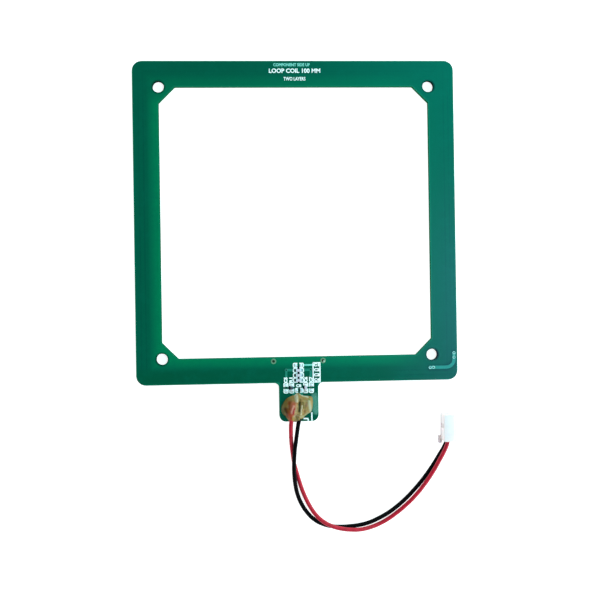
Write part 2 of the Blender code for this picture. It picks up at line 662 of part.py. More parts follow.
build_board()
build_back_copper()
build_crossover()
build_vias()
build_eyelets()
build_front_copper()
build_chips()
build_wires()
build_solder("red", RED_PAD_X)
build_solder("black", BLACK_PAD_X)
build_glue()
build_housing()
build_terminal("black", LOWER_WIRE_Z)
build_terminal("red", UPPER_WIRE_Z)
build_plug_strands("black", LOWER_WIRE_Z)
build_plug_strands("red", UPPER_WIRE_Z)
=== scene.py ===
"""Looks for a printed loop antenna board with a glued two-wire lead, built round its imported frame.

Board coordinates are millimetres from the loop's own centre, with z = 0 on the underside.
"""
import math

import bmesh
import bpy
from mathutils import Matrix, Vector, noise


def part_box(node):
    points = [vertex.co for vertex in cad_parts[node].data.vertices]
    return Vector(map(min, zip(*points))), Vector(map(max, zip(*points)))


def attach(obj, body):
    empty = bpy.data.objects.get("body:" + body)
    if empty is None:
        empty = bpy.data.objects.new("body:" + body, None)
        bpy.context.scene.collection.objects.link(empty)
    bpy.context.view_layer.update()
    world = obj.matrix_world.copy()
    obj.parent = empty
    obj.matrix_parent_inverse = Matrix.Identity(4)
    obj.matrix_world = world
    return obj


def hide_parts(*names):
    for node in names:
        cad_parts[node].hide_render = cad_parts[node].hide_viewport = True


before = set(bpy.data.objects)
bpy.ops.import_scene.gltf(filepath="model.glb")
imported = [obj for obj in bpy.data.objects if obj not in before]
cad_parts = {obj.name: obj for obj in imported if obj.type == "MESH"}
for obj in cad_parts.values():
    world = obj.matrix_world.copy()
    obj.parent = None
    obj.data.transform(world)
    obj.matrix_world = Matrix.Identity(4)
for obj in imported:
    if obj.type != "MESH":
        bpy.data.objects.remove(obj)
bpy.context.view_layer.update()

MM = 0.001
LOOP_CENTRE_Y = 6.0      # the loop's centre lies this far behind the frame's origin, in mm

# Board, in mm
HALF_BOARD = 50.0
HALF_WINDOW = 42.0
WINDOW_CUT = 5.0
TAB_HALF_WIDTH = 6.1
TAB_END_Y = -62.0
HOLE_PLACE = 42.0
HOLE_RADIUS = 1.8
TRACE_PITCH = 1.44
LAST_TURN_INSET = 4.4    # from the outer edge to the inner side of the third turn
BOARD_TOP = 1.6
COPPER_TOP = 1.645
INK_BOTTOM = 1.605
INK_TOP = 1.665          # the ink also runs over the masked copper

# What lies on the board stands on a foot just above it, in mm
FILM_FOOT = BOARD_TOP + 0.01
SOLDER_FOOT = BOARD_TOP + 0.012
GLUE_FOOT = BOARD_TOP + 0.02

# Lead, in mm
WIRE_DIAMETER = 1.3
RED_ROUTE = (
    (-1.5, -57.4, 2.35), (-1.75, -58.8, 2.35), (-2.2, -60.3, 2.35), (-2.55, -62.4, 2.33),
    (-2.65, -64.7, 2.15), (-2.6, -67.3, 1.65), (-2.4, -69.8, 1.05), (-2.1, -72.3, 0.74),
    (-1.7, -75.1, 0.66), (-1.0, -77.8, 0.66), (-0.2, -80.7, 0.66), (0.7, -83.5, 0.68),
    (1.8, -86.2, 0.82), (3.2, -88.9, 1.27), (5.0, -91.4, 1.85), (7.3, -93.4, 2.14),
    (10.0, -94.8, 2.17), (12.8, -95.6, 2.15), (15.6, -96.0, 2.05), (18.4, -96.1, 1.75),
    (21.4, -95.7, 1.2), (24.4, -94.8, 0.78), (27.2, -93.4, 0.75), (30.0, -91.5, 0.95),
    (32.8, -89.2, 1.25), (35.6, -86.5, 1.6), (38.4, -83.1, 2.05), (41.2, -79.0, 2.65),
    (43.7, -74.5, 3.3), (45.3, -71.3, 3.75), (46.0, -69.2, 3.9), (46.08, -67.4, 3.9),
)
BLACK_ROUTE = (
    (0.9, -57.4, 2.35), (0.72, -58.8, 2.35), (0.3, -60.3, 2.35), (-0.25, -62.4, 2.35),
    (-0.7, -65.1, 2.32), (-1.1, -67.9, 2.22), (-1.5, -70.7, 2.17), (-1.72, -73.4, 2.17),
    (-1.85, -76.2, 2.1), (-1.75, -79.1, 1.75), (-1.4, -82.0, 1.15), (-0.8, -84.8, 0.74),
    (0.3, -87.6, 0.66), (1.95, -90.3, 0.66), (4.35, -92.8, 0.66), (7.3, -94.4, 0.66),
    (10.1, -95.1, 0.66), (12.9, -95.3, 0.66), (15.7, -95.2, 0.66), (18.5, -94.9, 0.66),
    (21.5, -94.2, 0.66), (24.4, -93.0, 0.66), (27.3, -91.5, 0.66), (30.1, -89.6, 0.66),
    (33.0, -87.2, 0.66), (35.8, -84.4, 0.75), (38.7, -81.0, 0.98), (41.5, -77.1, 1.32),
    (43.8, -73.4, 1.63), (45.3, -70.9, 1.83), (46.0, -69.2, 1.9), (46.08, -67.4, 1.9),
)

# Camera, in mm
CAMERA_PLACE = (-19.129, -23.583, 300.0)
CAMERA_TARGET = (-0.614, -22.770, 0.0)
CAMERA_ROLL = 0.8642     # degrees
CAMERA_LENS = 58.745     # on a 36 mm sensor


def at(x, y, z=0.0):
    """A point in the row frame, in metres, from board millimetres."""
    return Vector((x, y + LOOP_CENTRE_Y, z)) * MM


def board_box(node):
    """A CAD node's lowest and highest corners in board millimetres."""
    low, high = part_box(node)
    shift = Vector((0, LOOP_CENTRE_Y, 0))
    return Vector(low) / MM - shift, Vector(high) / MM - shift


# ---------------------------------------------------------------- camera, light and floor

def build_camera():
    data = bpy.data.cameras.new("camera")
    data.lens = CAMERA_LENS
    data.sensor_width = 36
    data.clip_start, data.clip_end = 0.01, 20
    camera = bpy.data.objects.new("camera", data)
    bpy.context.scene.collection.objects.link(camera)
    place = at(*CAMERA_PLACE)
    look = at(*CAMERA_TARGET) - place
    right = look.cross(Vector((0, 1, 0))).normalized()
    up = right.cross(look).normalized()
    turn = Matrix.Rotation(math.radians(CAMERA_ROLL), 3, look.normalized())
    right, up = turn @ right, turn @ up
    back = -look.normalized()
    camera.matrix_world = Matrix.Translation(place) @ Matrix((right, up, back)).transposed().to_4x4()
    bpy.context.scene.camera = camera


RIGHT_SIDE_EXTRA = 0.6   # how much brighter the studio is on the right than in the middle
FLOOR_HALF_WIDTH = 3.0   # metres
FLOOR_Z = -0.05          # mm, just under what lies on it
FLOOR_GLOW = 0.85        # keeps the pale floor from going grey in the board's holes
PANEL_TARGET = (0.03, -0.02, 0)      # metres


def build_floor():
    mesh = bpy.data.meshes.new("floor")
    shape = bmesh.new()
    bmesh.ops.create_grid(shape, x_segments=1, y_segments=1, size=FLOOR_HALF_WIDTH)
    shape.to_mesh(mesh)
    shape.free()
    floor = bpy.data.objects.new("floor", mesh)
    bpy.context.scene.collection.objects.link(floor)
    floor.location.z = FLOOR_Z * MM
    material, _, surface = new_material("floor_paper")
    set_values(surface, {"Base Color": (0.6, 0.6, 0.6, 1), "Roughness": 1.0, "Specular IOR Level": 0.0,
                         "Emission Color": (1, 1, 1, 1), "Emission Strength": FLOOR_GLOW})
    mesh.materials.append(material)


def build_world():
    """A ring of soft light round the object, brighter from the right, under a dim ceiling."""
    world = bpy.data.worlds.new("studio")
    bpy.context.scene.world = world
    world.use_nodes = True
    tree = world.node_tree
    graph = Graph(tree)
    coordinate = tree.nodes.new("ShaderNodeTexCoord")
    direction = tree.nodes.new("ShaderNodeSeparateXYZ")
    tree.links.new(coordinate.outputs["Generated"], direction.inputs[0])
    levels = ((0.0, 1.1), (0.12, 1.3), (0.35, 2.2), (0.6, 2.2), (0.78, 0.03), (1.0, 0.0))
    greys = [(height, (level, level, level, 1)) for height, level in levels]
    background = next(node for node in tree.nodes if node.type == "BACKGROUND")
    graph.feed(background.inputs["Color"], graph.ramp(direction.outputs["Z"], greys))
    side = graph.calc("MULTIPLY_ADD", direction.outputs["X"], RIGHT_SIDE_EXTRA, 1.0)
    graph.feed(background.inputs["Strength"], side)


def panel(name, place, size, watts, colour):
    """A soft panel overhead, in metres, aimed at the board for the board to reflect."""
    data = bpy.data.lights.new(name, "AREA")
    data.shape = "RECTANGLE"
    data.size, data.size_y = size
    data.energy = watts
    data.color = colour
    light = bpy.data.objects.new(name, data)
    bpy.context.scene.collection.objects.link(light)
    light.location = place
    aim = Vector(PANEL_TARGET) - light.location
    light.rotation_euler = aim.to_track_quat("-Z", "Y").to_euler()


def build_lights():
    """Tinted panels whose reflections lie along the board's right-hand side."""
    panel("blue_panel", (0.47, -0.05, 1.15), (0.3, 0.26), 2.4, (0.2, 0.45, 1.0))
    panel("green_panel", (0.46, 0.15, 1.2), (0.36, 0.95), 2.4, (0.0, 1.0, 0.8))
    panel("upper_green_panel", (0.34, 0.46, 1.2), (0.46, 0.34), 1.7, (0.0, 1.0, 0.85))


# ---------------------------------------------------------------- materials

class Graph:
    """Short names for the shader nodes that the materials and the studio share."""

    def __init__(self, tree):
        self.tree = tree

    def feed(self, socket, value):
        if isinstance(value, bpy.types.NodeSocket):
            self.tree.links.new(value, socket)
        else:
            socket.default_value = value

    def calc(self, operation, first, second=0.0, third=None):
        node = self.tree.nodes.new("ShaderNodeMath")
        node.operation = operation
        self.feed(node.inputs[0], first)
        self.feed(node.inputs[1], second)
        if third is not None:
            self.feed(node.inputs[2], third)
        return node.outputs[0]

    def smooth(self, value, low, high):
        """0 at low, 1 at high, eased between them and level beyond them."""
        node = self.tree.nodes.new("ShaderNodeMapRange")
        node.interpolation_type = "SMOOTHSTEP"
        self.feed(node.inputs["Value"], value)
        set_values(node, {"From Min": low, "From Max": high})
        return node.outputs["Result"]

    def distance(self, across, along):
        """The length of a step across and along."""
        squares = self.calc("MULTIPLY_ADD", across, across, self.calc("MULTIPLY", along, along))
        return self.calc("SQRT", squares)

    def place(self):
        """The object's x, y and z in board millimetres."""
        coordinate = self.tree.nodes.new("ShaderNodeTexCoord")
        split = self.tree.nodes.new("ShaderNodeSeparateXYZ")
        self.tree.links.new(coordinate.outputs["Object"], split.inputs[0])
        x, y, z = (self.calc("MULTIPLY", output, 1 / MM) for output in split.outputs)
        return x, self.calc("SUBTRACT", y, LOOP_CENTRE_Y), z

    def upright(self):
        """1 on faces that stand upright, 0 on level ones."""
        geometry = self.tree.nodes.new("ShaderNodeNewGeometry")
        split = self.tree.nodes.new("ShaderNodeSeparateXYZ")
        self.tree.links.new(geometry.outputs["True Normal"], split.inputs[0])
        return self.smooth(self.calc("ABSOLUTE", split.outputs["Z"]), 0.7, 0.5)

    def streak(self, x, y, start, end, half_width):
        """1 along the middle of a segment in board millimetres, easing to 0 at half_width from it."""
        (start_x, start_y), (end_x, end_y) = start, end
        run_x, run_y = end_x - start_x, end_y - start_y
        from_x, from_y = self.calc("SUBTRACT", x, start_x), self.calc("SUBTRACT", y, start_y)
        share = self.calc("MULTIPLY", from_x, run_x / (run_x ** 2 + run_y ** 2))
        share = self.calc("MULTIPLY_ADD", from_y, run_y / (run_x ** 2 + run_y ** 2), share)
        share = self.calc("MINIMUM", self.calc("MAXIMUM", share, 0.0), 1.0)
        away_x = self.calc("MULTIPLY_ADD", share, -run_x, from_x)
        away_y = self.calc("MULTIPLY_ADD", share, -run_y, from_y)
        return self.smooth(self.distance(away_x, away_y), half_width, 0.0)

    def noise(self, scale, detail, roughness=0.55, stretch=(1, 1, 1)):
        """Noise with its scale in cycles per millimetre."""
        coordinate = self.tree.nodes.new("ShaderNodeTexCoord")
        mapping = self.tree.nodes.new("ShaderNodeMapping")
        mapping.inputs["Scale"].default_value = stretch
        self.tree.links.new(coordinate.outputs["Object"], mapping.inputs["Vector"])
        node = self.tree.nodes.new("ShaderNodeTexNoise")
        self.tree.links.new(mapping.outputs["Vector"], node.inputs["Vector"])
        set_values(node, {"Scale": scale / MM, "Detail": detail, "Roughness": roughness})
        return node.outputs["Fac"]

    def mix(self, factor, first, second):
        node = self.tree.nodes.new("ShaderNodeMix")
        node.data_type = "RGBA"
        self.feed(node.inputs["Factor"], factor)
        self.feed(node.inputs["A"], first)
        self.feed(node.inputs["B"], second)
        return node.outputs["Result"]

    def tint(self, colour, amount, share, other):
        """The colour, with the other one mixed in by a share of the amount."""
        return self.mix(self.calc("MULTIPLY", amount, share), colour, other)

    def ramp(self, value, stops):
        """A colour between the (place, colour) stops."""
        node = self.tree.nodes.new("ShaderNodeValToRGB")
        elements = node.color_ramp.elements
        while len(elements) < len(stops):
            elements.new(0.5)
        for element, (place, colour) in zip(elements, stops):
            element.position = place
            element.color = colour
        self.feed(node.inputs["Fac"], value)
        return node.outputs["Color"]

    def bump(self, height, distance, strength):
        """Bump whose height, 0 to 1, stands for a distance in millimetres."""
        node = self.tree.nodes.new("ShaderNodeBump")
        set_values(node, {"Strength": strength, "Distance": distance * MM})
        self.feed(node.inputs["Height"], height)
        return node.outputs["Normal"]

    def speckle(self, surface, cells, stops, grain):
        """Gives a surface a colour that wanders between its stops, and a fine bump.

        cells is the scale and detail of the colour's noise; grain is that of the bump's, then the bump's
        height and strength.
        """
        scale, detail, height, strength = grain
        self.feed(surface.inputs["Base Color"], self.ramp(self.noise(*cells), stops))
        self.feed(surface.inputs["Normal"], self.bump(self.noise(scale, detail), height, strength))


def new_material(name):
    """A material, the graph of its nodes, and its surface shader."""
    material = bpy.data.materials.new(name)
    material.use_nodes = True
    tree = material.node_tree
    surface = next(node for node in tree.nodes if node.type == "BSDF_PRINCIPLED")
    return material, Graph(tree), surface


def set_values(node, values):
    for name, value in values.items():
        node.inputs[name].default_value = value


def srgb(red, green, blue):
    """A linear colour from the 0 to 255 values seen on screen."""
    def linear(value):
        value = value / 255
        return value / 12.92 if value <= 0.04045 else ((value + 0.055) / 1.055) ** 2.4
    return (linear(red), linear(green), linear(blue), 1)


def scaled(colour, share):
    return tuple(share * part for part in colour[:3]) + (1,)


# A base colour is this share of the colour it should show, because the studio is a little bright
SURFACE_LEVEL = 0.77


def seen(red, green, blue):
    """The base colour that looks like this, 0 to 255, under the studio's light."""
    return scaled(srgb(red, green, blue), SURFACE_LEVEL)


# Streaks on the mask, from start to end in mm: the gap in the copper round the crossover, and a pale haze
CLEARANCE = (
    ((41.4, -46.2), (46.6, -46.2)),
    ((46.6, -46.2), (48.4, -44.9)),
    ((48.8, -44.5), (48.95, -41.6)),
)
HAZE = ((5.1, -55.0), (5.3, -58.8))      # beside the glue
STREAK_HALF_WIDTH = 1.7


def mask_colour(graph, x, y, from_outside):
    """Solder mask over the laminate and over the copper on the far side."""
    over_copper = srgb(0, 81, 60)
    colour = graph.ramp(graph.calc("DIVIDE", from_outside, HALF_BOARD - HALF_WINDOW), (
        (0.0, srgb(0, 84, 62)), (0.11, over_copper), (0.52, over_copper),
        (0.62, srgb(0, 93, 65)), (0.85, srgb(0, 110, 72)), (1.0, srgb(0, 116, 73)),
    ))
    # the right-hand band is nearly even across its width
    colour = graph.tint(colour, graph.smooth(x, 26, 42), 0.9, over_copper)
    # darker lanes follow the loop's turns
    turns = graph.calc("SINE", graph.calc("MULTIPLY", from_outside, 2 * math.pi / TRACE_PITCH))
    in_turns = graph.smooth(from_outside, LAST_TURN_INSET + 0.2, LAST_TURN_INSET - 0.2)
    lanes = graph.calc("MULTIPLY", graph.smooth(turns, 0.2, 0.9), in_turns)
    colour = graph.tint(colour, lanes, 0.5, srgb(0, 70, 56))
    # the rear band is a little more even, and the front band and the tab are darker
    colour = graph.tint(colour, graph.smooth(y, 36, 41), 0.55, over_copper)
    left_of_corner = graph.smooth(x, 34, 26)
    colour = graph.tint(colour, graph.smooth(y, -44, -47), left_of_corner, srgb(0, 76, 52))
    in_tab = graph.smooth(y, 0.2 - HALF_BOARD, -0.8 - HALF_BOARD)
    colour = graph.mix(in_tab, colour, srgb(0, 76, 54))
    # paler patches, and a fine dark mottle
    patches = graph.smooth(graph.noise(0.35, 4.0, 0.6), 0.4, 0.8)
    colour = graph.tint(colour, patches, 0.4, srgb(0, 90, 69))
    return graph.tint(colour, graph.noise(1.6, 3.0), 0.3, srgb(0, 67, 55))


def board_material():
    """Green solder mask on glass-epoxy laminate, with bare laminate at the cut edges."""
    material, graph, surface = new_material("solder_mask")
    x, y, _ = graph.place()
    across, along = graph.calc("ABSOLUTE", x), graph.calc("ABSOLUTE", y)
    ring = graph.calc("MAXIMUM", across, along)
    from_outside = graph.calc("SUBTRACT", HALF_BOARD, ring)
    colour = mask_colour(graph, x, y, from_outside)
    for start, end in CLEARANCE:
        gap = graph.streak(x, y, start, end, STREAK_HALF_WIDTH)
        colour = graph.tint(colour, gap, 0.95, srgb(0, 60, 50))
    colour = graph.tint(colour, graph.streak(x, y, *HAZE, STREAK_HALF_WIDTH), 0.6, srgb(76, 150, 130))

    # a paler rim along the outline and the window
    in_tab = graph.calc("MINIMUM", graph.calc("SUBTRACT", TAB_HALF_WIDTH, across),
                        graph.calc("SUBTRACT", y, TAB_END_Y))
    cut_line = graph.calc("SUBTRACT", graph.calc("ADD", across, along), 2 * HALF_WINDOW - WINDOW_CUT)
    from_window = graph.calc("MAXIMUM", graph.calc("SUBTRACT", ring, HALF_WINDOW),
                             graph.calc("MULTIPLY", cut_line, math.sqrt(0.5)))
    from_edge = graph.calc("MINIMUM", graph.calc("MAXIMUM", from_outside, in_tab), from_window)
    colour = graph.tint(colour, graph.smooth(from_edge, 0.5, 0.0), 0.8, srgb(16, 112, 84))

    # painted shade round each hole, and a painted shadow crescent on the outer side of the right-hand holes
    hole_x, hole_y = graph.calc("SUBTRACT", across, HOLE_PLACE), graph.calc("SUBTRACT", along, HOLE_PLACE)
    from_hole = graph.calc("SUBTRACT", graph.distance(hole_x, hole_y), HOLE_RADIUS)
    colour = graph.tint(colour, graph.smooth(from_hole, 0.7, 0.1), 0.7, srgb(0, 56, 42))
    crescent_shadow = graph.calc("MULTIPLY", graph.smooth(hole_x, 0.5, 1.7), graph.smooth(x, 0, 10))
    colour = graph.tint(colour, crescent_shadow, graph.smooth(from_hole, 0.6, 0.2), srgb(1, 20, 9))

    wall = graph.upright()
    glass = graph.noise(1.2, 4.0, 0.6, (1, 1, 9))
    laminate = graph.ramp(glass, ((0.3, srgb(8, 44, 22)), (0.7, srgb(30, 72, 38))))
    graph.feed(surface.inputs["Base Color"], graph.mix(wall, colour, laminate))
    graph.feed(surface.inputs["Roughness"], graph.calc("MULTIPLY_ADD", wall, 0.7, 0.22))
    graph.feed(surface.inputs["Normal"], graph.bump(graph.noise(0.9, 2.0), 0.01, 0.6))
    set_values(surface, {"Specular IOR Level": 0.32})
    return material


def cut_wall_material(name, dark, light):
    """Bare glass-epoxy where the board was routed or drilled: matt, with its layers showing; the near-black
    colours given for the drilled holes are painted shade.
    """
    material, graph, surface = new_material(name)
    layers = graph.noise(1.5, 4.0, 0.6, (1, 1, 8))
    graph.feed(surface.inputs["Base Color"], graph.ramp(layers, ((0.3, dark), (0.7, light))))
    set_values(surface, {"Roughness": 1.0, "Specular IOR Level": 0.0})
    return material


def masked_copper_material(name, dim, bright):
    """Copper under solder mask: a lighter green-blue than the bare laminate's."""
    material, graph, surface = new_material(name)
    graph.speckle(surface, (1.4, 3.0), ((0.3, dim), (0.7, bright)), (2.0, 2.0, 0.01, 0.6))
    set_values(surface, {"Metallic": 0.2, "Roughness": 0.34})
    return material


def tin_material(name, light, rough):
    """Tinned or soldered metal, unevenly dull."""
    material, graph, surface = new_material(name)
    graph.speckle(surface, (3.0, 4.0), ((0.3, scaled(light, 0.8)), (0.65, light)), (4.0, 3.0, 0.02, 0.5))
    graph.feed(surface.inputs["Roughness"], graph.calc("MULTIPLY_ADD", graph.noise(5.0, 3.0), 0.25, rough))
    set_values(surface, {"Metallic": 0.75})
    return material


def ink_material(name, thin, full):
    """White legend ink, thin enough for a little green to show through."""
    material, graph, surface = new_material(name)
    graph.speckle(surface, (2.5, 4.0), ((0.35, thin), (0.65, full)), (12.0, 2.0, 0.01, 0.5))
    set_values(surface, {"Roughness": 0.5})
    return material


def flat_material(name, colour, rough):
    """A plain dark or dull finish with a little unevenness."""
    material, graph, surface = new_material(name)
    graph.speckle(surface, (3.0, 3.0), ((0.3, scaled(colour, 0.75)), (0.7, colour)), (8.0, 2.0, 0.01, 0.5))
    set_values(surface, {"Roughness": rough, "Specular IOR Level": 0.15})
    return material


def chip_material(name, dark, light, rough):
    """Fired ceramic or glaze."""
    material, graph, surface = new_material(name)
    graph.speckle(surface, (6.0, 4.0), ((0.3, dark), (0.7, light)), (14.0, 2.0, 0.01, 0.5))
    set_values(surface, {"Roughness": rough})
    return material


# What shows through the glue, and painted highlights, glare and shade on its folds: start, end and half
# width in mm, colour and strength
GLUE_STREAKS = (
    ((-3.9, -55.4), (-4.4, -57.6), 2.6, (116, 98, 42), 1.0),  # olive over the solder pads
    ((-5.0, -55.8), (-5.6, -57.8), 0.9, (74, 84, 42), 0.9),  # thin green edge
    ((-5.6, -57.8), (-4.4, -60.4), 0.8, (70, 78, 40), 0.9),
    ((-4.2, -58.0), (-3.4, -60.2), 1.1, (54, 32, 8), 0.95),  # dark brown along the left edge, partly painted shade
    ((-3.0, -56.0), (-3.1, -60.4), 1.3, (120, 60, 22), 1.0),  # brown shade beside the red wire
    ((-0.95, -53.2), (-0.75, -55.4), 0.85, (200, 204, 176), 0.95),  # painted highlight on the pulled-up neck
    ((-1.15, -56.0), (-1.1, -58.8), 0.6, (178, 156, 116), 0.8),
    ((-1.75, -56.4), (-2.4, -59.8), 1.25, (196, 104, 76), 1.0),  # red wire
    # painted highlight on the red wire
    ((-1.8, -57.0), (-2.5, -59.3), 0.5, (232, 170, 152), 0.85),
    ((-1.5, -57.9), (-2.0, -59.5), 0.45, (158, 30, 48), 0.95),
    ((-2.85, -59.8), (-2.65, -62.0), 0.95, (170, 68, 30), 1.0),
    ((-2.0, -60.5), (-1.9, -61.4), 0.5, (178, 146, 74), 0.9),
    ((-1.7, -60.3), (-1.0, -59.8), 0.4, (196, 168, 138), 0.9),  # web between the wires
    ((-1.0, -59.8), (0.3, -60.3), 0.4, (176, 156, 116), 0.9),
    ((-0.55, -60.8), (-0.5, -61.4), 0.6, (120, 116, 70), 0.8),
    ((0.12, -55.9), (0.0, -58.6), 0.5, (74, 72, 50), 0.95),  # groove over the black wire
    ((1.15, -56.0), (1.15, -57.6), 0.6, (92, 84, 30), 0.9),
    ((0.3, -59.5), (0.7, -60.4), 0.7, (168, 152, 104), 0.9),
    ((0.75, -56.9), (0.45, -59.7), 0.3, (206, 200, 170), 0.95),  # painted highlight on the fold beside it
    ((2.2, -56.5), (2.2, -57.0), 0.7, (156, 128, 100), 0.8),
    ((1.65, -58.5), (1.8, -59.0), 0.6, (152, 112, 68), 0.8),
    ((3.0, -55.7), (3.6, -58.7), 0.85, (172, 182, 152), 0.95),  # pale right-hand shoulder, painted glare
    ((3.1, -55.0), (3.4, -55.3), 0.45, (106, 132, 60), 0.9),
    ((0.4, -53.4), (1.1, -53.9), 0.4, (190, 204, 178), 0.9),  # painted highlight on the upper rim
    ((1.1, -53.9), (2.8, -54.4), 0.38, (212, 220, 188), 1.0),
    ((0.3, -60.7), (2.8, -59.4), 0.35, (146, 168, 126), 0.8),  # painted highlight on the lower rim
)


def glue_material():
    """Hot-melt glue: amber, with the wires and solder showing through, and painted highlights, glare and
    shade on its folds.
    """
    material, graph, surface = new_material("hot_glue")
    x, y, _ = graph.place()
    waver = graph.calc("SUBTRACT", graph.noise(0.9, 3.0), 0.5)
    x = graph.calc("MULTIPLY_ADD", waver, 0.6, x)
    amber = graph.ramp(graph.noise(0.5, 4.0, 0.6), ((0.35, seen(148, 120, 64)), (0.7, seen(174, 154, 100))))
    # the streaks mix painted highlights, glare and shade into the glue's own colours
    for start, end, half_width, colour, strength in GLUE_STREAKS:
        amber = graph.tint(amber, graph.streak(x, y, start, end, half_width), strength, seen(*colour))
    graph.feed(surface.inputs["Base Color"], amber)
    graph.feed(surface.inputs["Normal"], graph.bump(graph.noise(0.7, 3.0), 0.05, 0.4))
    set_values(surface, {"Roughness": 0.24, "Specular IOR Level": 0.12, "Subsurface Weight": 0.15,
                         "Subsurface Scale": 0.0003})
    return material


def smear_material():
    """Glue wiped thin over the mask."""
    material, graph, surface = new_material("glue_smear")
    stops = ((0.3, srgb(96, 176, 152)), (0.7, srgb(136, 196, 180)))
    graph.feed(surface.inputs["Base Color"], graph.ramp(graph.noise(0.6, 3.0), stops))
    set_values(surface, {"Roughness": 0.2, "Alpha": 0.16})
    return material


def wire_material(name, base, dark, gloss):
    """Extruded PVC, faintly uneven."""
    material, graph, surface = new_material(name)
    graph.speckle(surface, (0.9, 3.0), ((0.3, dark), (0.7, base)), (3.0, 3.0, 0.03, 0.4))
    set_values(surface, {"Roughness": 0.42, "Specular IOR Level": gloss})
    return material


def nylon_material():
    """Milky nylon, with painted contact shade low on its walls."""
    material, graph, surface = new_material("natural_nylon")
    colour = graph.ramp(graph.noise(0.6, 3.0), ((0.3, (0.80, 0.75, 0.76, 1)), (0.7, (0.84, 0.78, 0.79, 1))))
    # painted contact shade, darkest where the walls meet the floor
    foot = graph.smooth(graph.place()[2], 1.3, 0.6)
    colour = graph.tint(colour, graph.upright(), foot, srgb(84, 84, 100))
    graph.feed(surface.inputs["Base Color"], colour)
    graph.feed(surface.inputs["Normal"], graph.bump(graph.noise(5.0, 3.0), 0.02, 0.5))
    set_values(surface, {"Roughness": 0.4, "Subsurface Weight": 0.15, "Subsurface Scale": 0.0006})
    return material


# ---------------------------------------------------------------- pieces

WALL_SKIN = 0.02         # the thickness of the skins on the cut walls, and their least distance from them
HOLE_SEGMENTS = 48


def cut_wall(name, outline, material):
    """A thin skin down a cut wall; the outline runs round the opening, in board millimetres."""
    centre = sum((Vector(point) for point in outline), Vector((0, 0))) / len(outline)
    inner = [Vector(point) + (centre - Vector(point)).normalized() * WALL_SKIN for point in outline]
    low, high = WALL_SKIN, BOARD_TOP - WALL_SKIN
    shape = bmesh.new()
    rings = [[shape.verts.new((point[0], point[1], z)) for point in points]
             for points, z in ((inner, low), (inner, high), (outline, high), (outline, low))]
    for first, second in zip(rings, rings[1:] + rings[:1]):
        for k in range(len(outline)):
            n = (k + 1) % len(outline)
            shape.faces.new((first[k], first[n], second[n], second[k]))
    add_piece(name, mesh_from(to_frame(shape), name), material)


def build_cut_walls(routed, drilled):
    """The window's wall, and near-black skins down the four mounting holes' walls as painted shade."""
    half, cut = HALF_WINDOW - WALL_SKIN, WINDOW_CUT
    corners = ((half, half - cut), (half - cut, half), (cut - half, half), (-half, half - cut),
               (-half, cut - half), (cut - half, -half), (half - cut, -half), (half, cut - half))
    cut_wall("window_wall", corners, routed)
    radius = HOLE_RADIUS - 2 * WALL_SKIN
    turns = [2 * math.pi * k / HOLE_SEGMENTS for k in range(HOLE_SEGMENTS)]
    for number, (side_x, side_y) in enumerate(((1, 1), (-1, 1), (-1, -1), (1, -1)), start=1):
        x, y = side_x * HOLE_PLACE, side_y * HOLE_PLACE
        circle = [(x + radius * math.cos(turn), y + radius * math.sin(turn)) for turn in turns]
        cut_wall(f"hole_shade_skin_{number}", circle, drilled)


def add_piece(name, data, material):
    """Links a mesh or curve as one piece that rides on the only body."""
    piece = bpy.data.objects.new(name, data)
    bpy.context.scene.collection.objects.link(piece)
    data.materials.append(material)
    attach(piece, "root")
    return piece


def mesh_from(shape, name, sharp=35):
    """A smooth-shaded mesh, with edges kept sharp where faces meet at more than this angle in degrees."""
    mesh = bpy.data.meshes.new(name)
    bmesh.ops.recalc_face_normals(shape, faces=shape.faces[:])
    shape.to_mesh(mesh)
    shape.free()
    mesh.polygons.foreach_set("use_smooth", [True] * len(mesh.polygons))
    mesh.set_sharp_from_angle(angle=math.radians(sharp))
    return mesh


def lead(name, route, material):
    """One wire: a smooth curve through its route's points."""
    curve = bpy.data.curves.new(name, "CURVE")
    curve.dimensions = "3D"
    curve.bevel_depth = WIRE_DIAMETER / 2 * MM
    curve.bevel_resolution = 6
    curve.resolution_u = 8
    curve.use_fill_caps = True
    spline = curve.splines.new("BEZIER")
    spline.bezier_points.add(len(route) - 1)
    for point, place in zip(spline.bezier_points, route):
        point.co = at(*place)
        point.handle_left_type = point.handle_right_type = "AUTO"
    return add_piece(name, curve, material)


def rounded_box(low, high, radius):
    """A box between two corners with its edges rounded."""
    shape = bmesh.new()
    bmesh.ops.create_cube(shape, size=1)
    bmesh.ops.scale(shape, vec=high - low, verts=shape.verts[:])
    bmesh.ops.translate(shape, vec=(low + high) / 2, verts=shape.verts[:])
    bmesh.ops.bevel(shape, geom=shape.edges[:], offset=radius, segments=3, affect="EDGES", profile=0.5)
    return shape


def to_frame(shape):
    """Board millimetres to the row frame's metres."""
    bmesh.ops.translate(shape, vec=(0, LOOP_CENTRE_Y, 0), verts=shape.verts[:])
    bmesh.ops.scale(shape, vec=(MM, MM, MM), verts=shape.verts[:])
    return shape


CHIP_EDGE = 0.04         # radius of a chip's edges, in mm
CAP_EDGE = 0.07


def build_chips(ceramic, glaze, tin):
    """Rounded bodies and end caps in the places of the chips' plain CAD blocks."""
    for node in sorted(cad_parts):
        if not node.startswith(("tuning_", "damping_", "series_")):
            continue
        radius, material = CHIP_EDGE, ceramic
        if "_cap_" in node:
            radius, material = CAP_EDGE, tin
        elif node.startswith("damping_"):
            material = glaze
        low, high = board_box(node)
        shape = to_frame(rounded_box(low, high, radius))
        piece = add_piece("chip_" + node, mesh_from(shape, node), material)
        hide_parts(node)


# Solder on the pads, in mm
PAD_REACH = 0.8          # a pad's centre lies this far from its chip's
PAD_SIZE = 0.9
PAD_WIDTH = 0.92
SOLDER_CROWN = 0.09
SOLDER_RISE = 0.42       # extra height against the end of a chip


